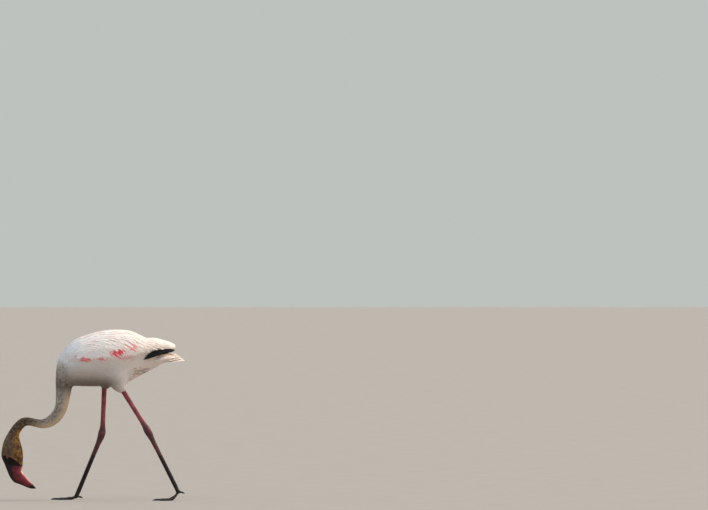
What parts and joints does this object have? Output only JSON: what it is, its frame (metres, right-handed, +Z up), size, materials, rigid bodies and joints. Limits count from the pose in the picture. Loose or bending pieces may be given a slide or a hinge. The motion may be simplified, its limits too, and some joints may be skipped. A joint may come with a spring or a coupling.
{
  "type": "lesser flamingo",
  "caption": "Life-size still lesser flamingo striding on webbed feet, neck curved down and bill just above the ground, wings folded.",
  "frame": {"origin": "on the ground plane under the middle of the bird's bounding box", "axes": "-X is forward, along the bill's reach; +Y is the bird's right side; +Z is up"},
  "size_m": [0.5344, 0.1494, 0.4953],
  "materials": {
    "plumage": "soft white body feathers with a faint pink tinge",
    "wing_feather": "pinkish white folded wing feathers with crimson streaks",
    "stained_plumage": "short neck and head feathers stained grey-brown by mud",
    "flight_feather": "black flight feathers, slight sheen",
    "leg_skin": "scaled dull crimson leg skin, muddy black below",
    "foot_skin": "scaled webbed foot skin, blackened by mud",
    "bill_horn": "dark crimson horn with a black tip",
    "claw_horn": "blackish horn",
    "eye": "wet glossy orange-red eye"
  },
  "bodies": {
    "root": {"trunk": "plumage", "neck_base": "plumage", "neck_lower": "plumage", "neck_middle": "stained_plumage", "neck_upper": "stained_plumage", "head": "stained_plumage", "tail": "plumage", "wing_left": "wing_feather", "wing_right": "wing_feather", "flight_feathers_left": "flight_feather", "flight_feathers_right": "flight_feather", "thigh_left": "plumage", "thigh_right": "plumage", "bill_upper": "bill_horn", "bill_lower": "bill_horn", "eye_left": "eye", "eye_right": "eye", "shank_left": "leg_skin", "shank_right": "leg_skin", "shin_left": "leg_skin", "shin_right": "leg_skin", "foot_left": "foot_skin", "foot_right": "foot_skin", "claw_inner_left": "claw_horn", "claw_middle_left": "claw_horn", "claw_outer_left": "claw_horn", "claw_hind_left": "claw_horn", "claw_inner_right": "claw_horn", "claw_middle_right": "claw_horn", "claw_outer_right": "claw_horn", "claw_hind_right": "claw_horn"}
  },
  "joints": []
}
